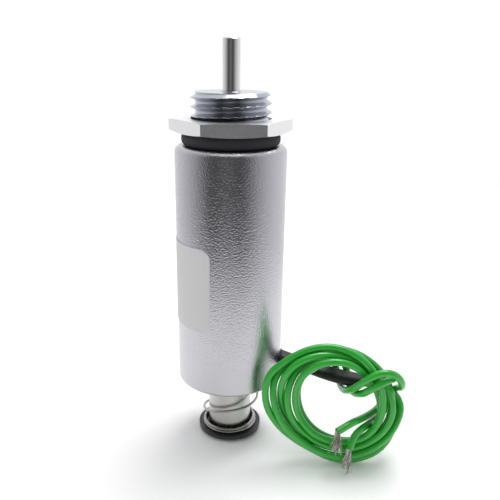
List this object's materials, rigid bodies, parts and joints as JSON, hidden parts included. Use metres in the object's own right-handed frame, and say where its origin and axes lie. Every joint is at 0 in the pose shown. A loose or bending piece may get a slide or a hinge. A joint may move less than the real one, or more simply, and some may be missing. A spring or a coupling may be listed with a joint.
{
  "type": "push pull solenoid",
  "caption": "Tubular push pull solenoid with a threaded mounting bushing, hex nut, push pin, sprung plunger and coiled green leads.",
  "frame": {"origin": "on the solenoid's axis at the plunger's outer end face, the face it stands on", "axes": "+Z along the axis from the plunger's outer end to the push pin; the leads leave the case towards +X and lie on the -Y side"},
  "size_m": [0.0565, 0.0325, 0.0962],
  "materials": {
    "nickel_steel": "satin nickel plate with a fine grain",
    "zinc_steel": "bright blue-white zinc plate",
    "polished_steel": "ground and polished steel",
    "spring_steel": "bright spring wire",
    "black_steel": "black oxide",
    "seal_rubber": "black nitrile rubber",
    "brass_tube": "drawn brass",
    "bearing_bronze": "sintered bronze",
    "copper_wire": "enamelled copper",
    "bobbin_plastic": "moulded nylon",
    "insulation": "polyester tape",
    "grommet_rubber": "black rubber",
    "sleeve_plastic": "black shrink sleeve",
    "lead_green": "green silicone insulation",
    "tinned_copper": "tinned strands",
    "label_white": "white film label, bare"
  },
  "bodies": {
    "case": {"case_shell": "nickel_steel", "threaded_bushing": "zinc_steel", "seal_ring": "seal_rubber", "rear_end_plate": "zinc_steel", "guide_tube": "brass_tube", "coil_bobbin": "bobbin_plastic", "copper_winding": "copper_wire", "insulation_tape": "insulation", "terminal_tab_a": "brass_tube", "terminal_tab_b": "brass_tube", "pin_bearing": "bearing_bronze", "return_spring": "spring_steel", "lead_grommet": "grommet_rubber", "lead_sleeve": "sleeve_plastic", "lead_a_run": "lead_green", "lead_b_run": "lead_green", "lead_coil": "lead_green", "lead_a_tail": "lead_green", "lead_b_tail": "lead_green", "conductor_a": "tinned_copper", "conductor_b": "tinned_copper", "label_sticker": "label_white"},
    "plunger": {"plunger": "polished_steel", "push_pin": "polished_steel", "retaining_clip": "black_steel", "stop_washer": "bearing_bronze"},
    "nut": {"hex_nut": "zinc_steel"}
  },
  "joints": [
    {"name": "plunger_slide", "type": "slide", "parent": "case", "child": "plunger", "axis": [0, 0, 1], "range_m": [0, 0.01], "stiffness_N_per_m": 200, "springref_m": -0.016, "deforming": ["return_spring"]},
    {"name": "nut_slide", "type": "slide", "parent": "case", "child": "nut", "axis": [0, 0, 1], "range_m": [0, 0.0055]}
  ]
}
